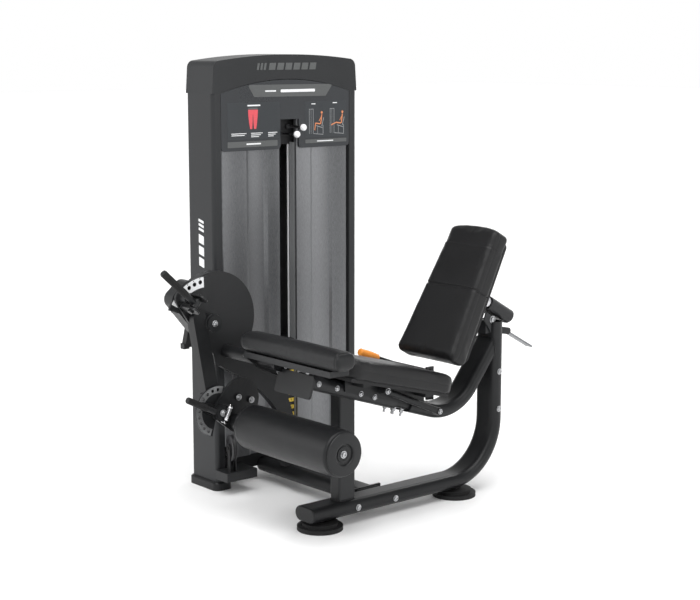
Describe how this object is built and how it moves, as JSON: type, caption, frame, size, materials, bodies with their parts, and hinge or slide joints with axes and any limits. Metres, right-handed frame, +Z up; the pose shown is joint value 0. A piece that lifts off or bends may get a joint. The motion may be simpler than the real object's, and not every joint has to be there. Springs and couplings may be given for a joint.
{
  "type": "leg extension machine",
  "caption": "Seated leg extension machine: weight stack tower, reclined seat on a bent tube frame, knee pivot with start selector, swinging arm and shin roller.",
  "frame": {"origin": "centre of the front levelling foot, on the floor, under the seat centre plane", "axes": "+Z up, the user faces -Y, +X is the side away from the weight tower"},
  "size_m": [0.9825, 1.3538, 1.515],
  "materials": {
    "frame_paint": "satin fine-texture powder coat",
    "tower_paint": "satin fine-texture powder coat",
    "panel_gloss": "gloss",
    "shroud_sheet": "metallic fine-texture coat",
    "steel_rod": "polished",
    "black_steel": "matte",
    "rubber_black": "matte",
    "chrome_parts": "polished",
    "knob_plastic": "gloss",
    "ball_plastic": "gloss",
    "cable_coat": "satin coated steel rope",
    "pulley_nylon": "satin",
    "roller_foam": "matte moulded skin",
    "roller_cap_plastic": "satin",
    "upholstery": "fine grain vinyl",
    "board_plastic": "satin",
    "light_steel": "satin",
    "grip_orange": "satin"
  },
  "bodies": {
    "frame": {"tower_base": "frame_paint", "tower_column_front": "tower_paint", "tower_column_rear": "tower_paint", "tower_top_beam": "tower_paint", "tower_cap": "tower_paint", "display_panel": "panel_gloss", "shroud_front": "shroud_sheet", "shroud_rear": "shroud_sheet", "shroud_outer": "shroud_sheet", "guide_rods": "steel_rod", "stack_bumpers": "rubber_black", "resting_plates": "black_steel", "addon_shelf": "black_steel", "cable": "cable_coat", "stack_cable": "cable_coat", "pulley_brackets": "black_steel", "pivot_column": "frame_paint", "pivot_bearings": "steel_rod", "cross_tube": "frame_paint", "rear_frame_tube": "frame_paint", "levelling_feet": "rubber_black", "front_post": "frame_paint", "seat_tube_front": "frame_paint", "seat_tube_rear": "frame_paint", "head_plate": "frame_paint", "knee_roll": "roller_foam", "seat_board": "board_plastic", "seat_cushion": "upholstery", "seat_gussets": "frame_paint", "seat_strut": "frame_paint", "post_gusset": "frame_paint", "backrest_sleeve": "frame_paint", "frame_bolts": "chrome_parts"},
    "pulley_1": {"pulley_idler": "pulley_nylon"},
    "pulley_2": {"pulley_cam_side": "pulley_nylon"},
    "pulley_3": {"pulley_base": "pulley_nylon"},
    "pulley_4": {"pulley_top_front": "pulley_nylon"},
    "pulley_5": {"pulley_top_stack": "pulley_nylon"},
    "stack": {"top_plate": "black_steel", "lifted_plates": "black_steel"},
    "selector_pin": {"selector_pin": "knob_plastic"},
    "addon_upper": {"addon_knob_upper": "ball_plastic"},
    "addon_lower": {"addon_knob_lower": "ball_plastic"},
    "cam": {"main_shaft": "steel_rod", "drive_cam": "black_steel", "start_sector": "frame_paint"},
    "arm": {"swing_arm": "frame_paint", "arm_clevis": "frame_paint"},
    "start_handle": {"start_handle": "frame_paint"},
    "start_pin": {"start_pin": "chrome_parts"},
    "roller_arm": {"roller_arm": "frame_paint"},
    "shin_handle": {"shin_handle": "frame_paint"},
    "leg_roller": {"leg_roller": "roller_foam", "roller_caps": "roller_cap_plastic"},
    "backrest": {"backrest_slide": "steel_rod", "back_board": "board_plastic", "back_pad": "upholstery"},
    "backrest_lever": {"backrest_lever": "light_steel"},
    "seat_lever": {"seat_lever": "frame_paint", "seat_lever_grip": "grip_orange"}
  },
  "joints": [
    {"name": "cam_turn", "type": "hinge", "parent": "frame", "child": "cam", "pos_m": [-0.484, -0.17, 0.65], "axis": [-1, 0, 0], "range_deg": [0, 85]},
    {"name": "start_position", "type": "hinge", "parent": "cam", "child": "arm", "pos_m": [-0.361, -0.17, 0.65], "axis": [-1, 0, 0], "range_deg": [0, 40]},
    {"name": "start_handle_pull", "type": "hinge", "parent": "arm", "child": "start_handle", "pos_m": [-0.318, -0.254, 0.725], "axis": [0, 0.6765, 0.7364], "range_deg": [0, 18], "stiffness_Nm_per_rad": 2, "springref_deg": -28.65},
    {"name": "start_pin_pull", "type": "slide", "parent": "arm", "child": "start_pin", "axis": [1, 0, 0], "range_m": [0, 0.0075]},
    {"name": "shin_adjust", "type": "hinge", "parent": "arm", "child": "roller_arm", "pos_m": [-0.32, -0.163, 0.355], "axis": [-1, 0, 0], "range_deg": [-20, 30]},
    {"name": "shin_handle_pull", "type": "slide", "parent": "roller_arm", "child": "shin_handle", "axis": [1, 0, 0], "range_m": [0, 0.012], "stiffness_N_per_m": 800, "springref_m": -0.01},
    {"name": "roller_spin", "type": "hinge", "parent": "roller_arm", "child": "leg_roller", "pos_m": [0, -0.1, 0.313], "axis": [1, 0, 0], "continuous": true},
    {"name": "stack_lift", "type": "slide", "parent": "frame", "child": "stack", "axis": [0, 0, 1], "range_m": [0, 0.17], "deforming": ["stack_cable"]},
    {"name": "selector_pull", "type": "slide", "parent": "stack", "child": "selector_pin", "axis": [1, 0, 0], "range_m": [0, 0.08]},
    {"name": "addon_upper_pull", "type": "slide", "parent": "frame", "child": "addon_upper", "axis": [1, 0, 0], "range_m": [0, 0.012]},
    {"name": "addon_lower_pull", "type": "slide", "parent": "frame", "child": "addon_lower", "axis": [1, 0, 0], "range_m": [0, 0.012]},
    {"name": "backrest_slide", "type": "slide", "parent": "frame", "child": "backrest", "axis": [0, -0.8686, 0.4955], "range_m": [-0.03, 0.06]},
    {"name": "backrest_lever_lift", "type": "hinge", "parent": "frame", "child": "backrest_lever", "pos_m": [0, 0.836, 0.556], "axis": [1, 0, 0], "range_deg": [0, 15], "stiffness_Nm_per_rad": 1.5, "springref_deg": -22.92},
    {"name": "seat_lever_lift", "type": "hinge", "parent": "frame", "child": "seat_lever", "pos_m": [-0.1, 0.5, 0.45], "axis": [-1, 0, 0], "range_deg": [0, 12], "stiffness_Nm_per_rad": 3, "springref_deg": -34.38},
    {"name": "pulley_1_spin", "type": "hinge", "parent": "frame", "child": "pulley_1", "pos_m": [-0.48342, -0.03, 0.513], "axis": [-0.9999, 0, -0.0138], "range_deg": [-250, 250]},
    {"name": "pulley_2_spin", "type": "hinge", "parent": "frame", "child": "pulley_2", "pos_m": [-0.51803, 0.02642, 0.162], "axis": [0.3433, 0.9392, 0.0047], "range_deg": [-250, 250]},
    {"name": "pulley_3_spin", "type": "hinge", "parent": "frame", "child": "pulley_3", "pos_m": [-0.63555, 0.06958, 0.162], "axis": [0.3433, 0.9392, 0], "range_deg": [-250, 250]},
    {"name": "pulley_4_spin", "type": "hinge", "parent": "frame", "child": "pulley_4", "pos_m": [-0.67021, 0.12573, 1.303], "axis": [-0.9935, 0.114, 0], "range_deg": [-250, 250]},
    {"name": "pulley_5_spin", "type": "hinge", "parent": "frame", "child": "pulley_5", "pos_m": [-0.65179, 0.28627, 1.303], "axis": [-0.9935, 0.114, 0], "range_deg": [-250, 250]}
  ],
  "couplings": [
    {"joint": "stack_lift", "follows": "cam_turn", "m_per_rad": 0.095},
    {"joint": "start_pin_pull", "follows": "start_handle_pull", "m_per_rad": 0.021},
    {"joint": "pulley_1_spin", "follows": "cam_turn", "ratio": -2.2619},
    {"joint": "pulley_2_spin", "follows": "cam_turn", "ratio": -2.2619},
    {"joint": "pulley_3_spin", "follows": "cam_turn", "ratio": -2.2619},
    {"joint": "pulley_4_spin", "follows": "cam_turn", "ratio": -2.2619},
    {"joint": "pulley_5_spin", "follows": "cam_turn", "ratio": -2.2619}
  ]
}
